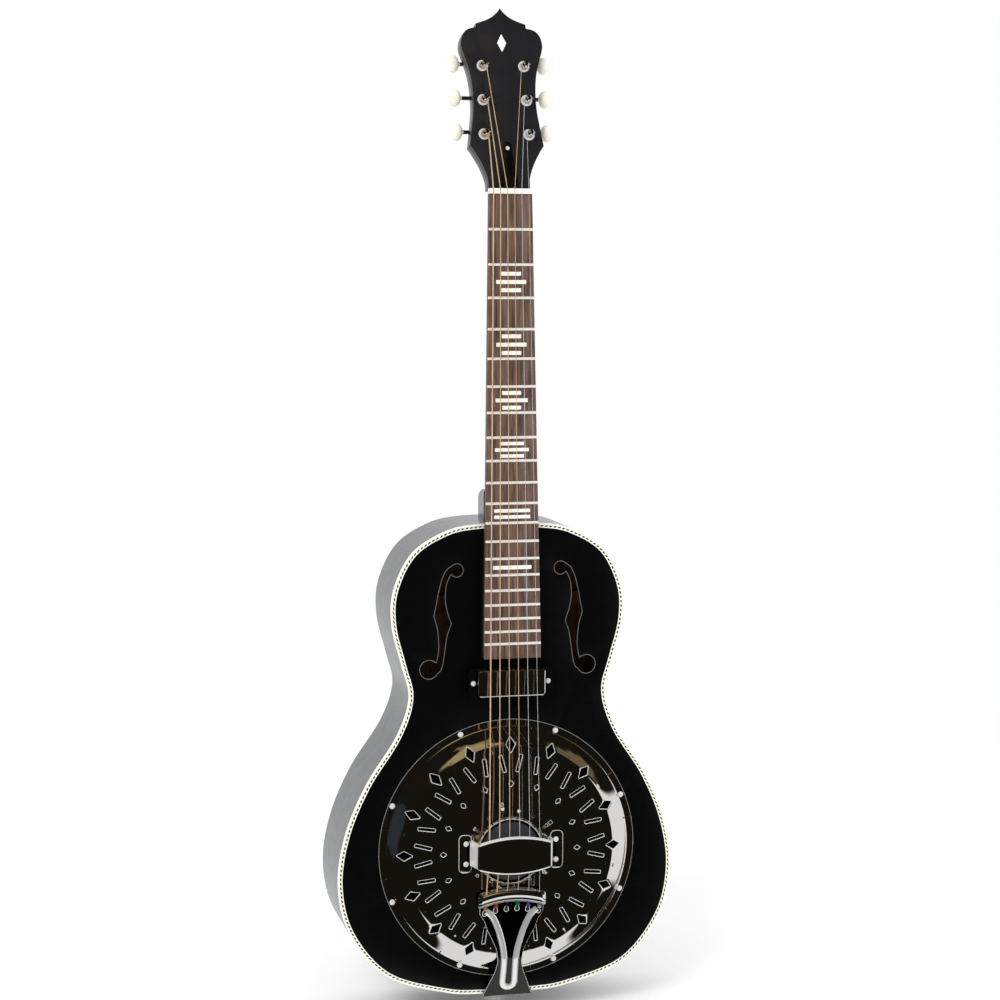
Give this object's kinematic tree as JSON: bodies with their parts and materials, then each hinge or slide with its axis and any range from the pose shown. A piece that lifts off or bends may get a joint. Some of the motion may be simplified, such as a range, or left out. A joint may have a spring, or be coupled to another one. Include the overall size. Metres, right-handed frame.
{
  "type": "resonator guitar",
  "caption": "Black resonator guitar with a domed perforated chrome cover, f-holes, chrome tailpiece and palm rest, small pickup, open-gear tuners and bound body.",
  "frame": {"origin": "on the centreline in the soundboard's front plane, level with the nut, where the prongs of a hanger take the headstock", "axes": "+X to the treble side, -Y out of the front, +Z along the neck towards the headstock"},
  "size_m": [0.3428, 0.1355, 0.996],
  "materials": {
    "black_lacquer": "near-black lacquer with a satin gloss",
    "headplate_black": "black lacquered veneer",
    "binding_cream": "cream celluloid binding",
    "rope_purfling": "black and cream slanted blocks",
    "tonewood_pale": "bare pale wood",
    "rosewood": "oiled brown rosewood with dark streaks",
    "nickel_silver": "polished nickel silver",
    "pearl": "white pearloid",
    "bone": "polished bone",
    "steel": "bare steel",
    "dark_steel": "blackened steel",
    "brass": "turned brass",
    "chrome": "mirror chrome",
    "spun_aluminium": "spun aluminium with fine rings",
    "biscuit_dark": "dark blue-grey stained maple",
    "maple": "maple",
    "black_plastic": "black plastic",
    "button_ivory": "ivory plastic",
    "bronze_string": "bronze wound round steel",
    "plain_string": "bright plain steel"
  },
  "bodies": {
    "root": {"soundboard": "black_lacquer", "back": "black_lacquer", "sides_bass": "black_lacquer", "sides_treble": "black_lacquer", "neck": "black_lacquer", "headplate": "headplate_black", "truss_rod_cover": "headplate_black", "fretboard_riser": "headplate_black", "binding": "binding_cream", "purfling": "rope_purfling", "linings": "tonewood_pale", "neck_block": "tonewood_pale", "tail_block": "tonewood_pale", "braces": "tonewood_pale", "soundwell": "tonewood_pale", "fretboard": "rosewood", "frets": "nickel_silver", "fretboard_inlays": "pearl", "nut": "bone", "truss_rod": "steel", "neck_bolts": "steel", "tuner_plates": "chrome", "tuner_bushings": "chrome", "screws": "chrome", "coverplate": "chrome", "palm_rest": "chrome", "pickup_cover": "chrome", "tailpiece": "chrome", "endpin_jack": "chrome", "cone": "spun_aluminium", "biscuit": "biscuit_dark", "saddle": "maple", "pickup_ring": "black_plastic", "pickup_coil": "black_plastic", "pickup_lead": "black_plastic", "string_1": "bronze_string", "string_2": "bronze_string", "string_3": "bronze_string", "string_4": "bronze_string", "string_5": "plain_string", "string_6": "plain_string"},
    "tuner_key_1": {"tuner_button_1": "button_ivory", "worm_shaft_1": "dark_steel"},
    "post_1": {"string_post_1": "chrome"},
    "tuner_key_2": {"tuner_button_2": "button_ivory", "worm_shaft_2": "dark_steel"},
    "post_2": {"string_post_2": "chrome"},
    "tuner_key_3": {"tuner_button_3": "button_ivory", "worm_shaft_3": "dark_steel"},
    "post_3": {"string_post_3": "chrome"},
    "tuner_key_4": {"tuner_button_4": "button_ivory", "worm_shaft_4": "dark_steel"},
    "post_4": {"string_post_4": "chrome"},
    "tuner_key_5": {"tuner_button_5": "button_ivory", "worm_shaft_5": "dark_steel"},
    "post_5": {"string_post_5": "chrome"},
    "tuner_key_6": {"tuner_button_6": "button_ivory", "worm_shaft_6": "dark_steel"},
    "post_6": {"string_post_6": "chrome"},
    "truss_nut": {"truss_rod_nut": "brass"}
  },
  "joints": [
    {"name": "tuner_key_1_turn", "type": "hinge", "parent": "root", "child": "tuner_key_1", "pos_m": [-0.0225, 0.04196, 0.05838], "axis": [1, 0, 0], "continuous": true},
    {"name": "tuner_key_2_turn", "type": "hinge", "parent": "root", "child": "tuner_key_2", "pos_m": [-0.0218, 0.05031, 0.09185], "axis": [1, 0, 0], "continuous": true},
    {"name": "tuner_key_3_turn", "type": "hinge", "parent": "root", "child": "tuner_key_3", "pos_m": [-0.0209, 0.05865, 0.12533], "axis": [1, 0, 0], "continuous": true},
    {"name": "tuner_key_4_turn", "type": "hinge", "parent": "root", "child": "tuner_key_4", "pos_m": [0.0209, 0.05865, 0.12533], "axis": [1, 0, 0], "continuous": true},
    {"name": "tuner_key_5_turn", "type": "hinge", "parent": "root", "child": "tuner_key_5", "pos_m": [0.0218, 0.05031, 0.09185], "axis": [1, 0, 0], "continuous": true},
    {"name": "tuner_key_6_turn", "type": "hinge", "parent": "root", "child": "tuner_key_6", "pos_m": [0.0225, 0.04196, 0.05838], "axis": [1, 0, 0], "continuous": true},
    {"name": "post_1_turn", "type": "hinge", "parent": "root", "child": "post_1", "pos_m": [-0.0225, 0.04012, 0.051], "axis": [0, 0.9703, -0.2419], "continuous": true},
    {"name": "post_2_turn", "type": "hinge", "parent": "root", "child": "post_2", "pos_m": [-0.0218, 0.04847, 0.08448], "axis": [0, 0.9703, -0.2419], "continuous": true},
    {"name": "post_3_turn", "type": "hinge", "parent": "root", "child": "post_3", "pos_m": [-0.0209, 0.05681, 0.11795], "axis": [0, 0.9703, -0.2419], "continuous": true},
    {"name": "post_4_turn", "type": "hinge", "parent": "root", "child": "post_4", "pos_m": [0.0209, 0.05681, 0.11795], "axis": [0, 0.9703, -0.2419], "continuous": true},
    {"name": "post_5_turn", "type": "hinge", "parent": "root", "child": "post_5", "pos_m": [0.0218, 0.04847, 0.08448], "axis": [0, 0.9703, -0.2419], "continuous": true},
    {"name": "post_6_turn", "type": "hinge", "parent": "root", "child": "post_6", "pos_m": [0.0225, 0.04012, 0.051], "axis": [0, 0.9703, -0.2419], "continuous": true},
    {"name": "truss_rod_adjust", "type": "hinge", "parent": "root", "child": "truss_nut", "pos_m": [0, 0.01496, 0.01046], "axis": [0, 0.0427, 0.9991], "range_deg": [-180, 180]}
  ],
  "couplings": [
    {"joint": "post_1_turn", "follows": "tuner_key_1_turn", "ratio": 0.071429},
    {"joint": "post_2_turn", "follows": "tuner_key_2_turn", "ratio": 0.071429},
    {"joint": "post_3_turn", "follows": "tuner_key_3_turn", "ratio": 0.071429},
    {"joint": "post_4_turn", "follows": "tuner_key_4_turn", "ratio": 0.071429},
    {"joint": "post_5_turn", "follows": "tuner_key_5_turn", "ratio": 0.071429},
    {"joint": "post_6_turn", "follows": "tuner_key_6_turn", "ratio": 0.071429}
  ]
}
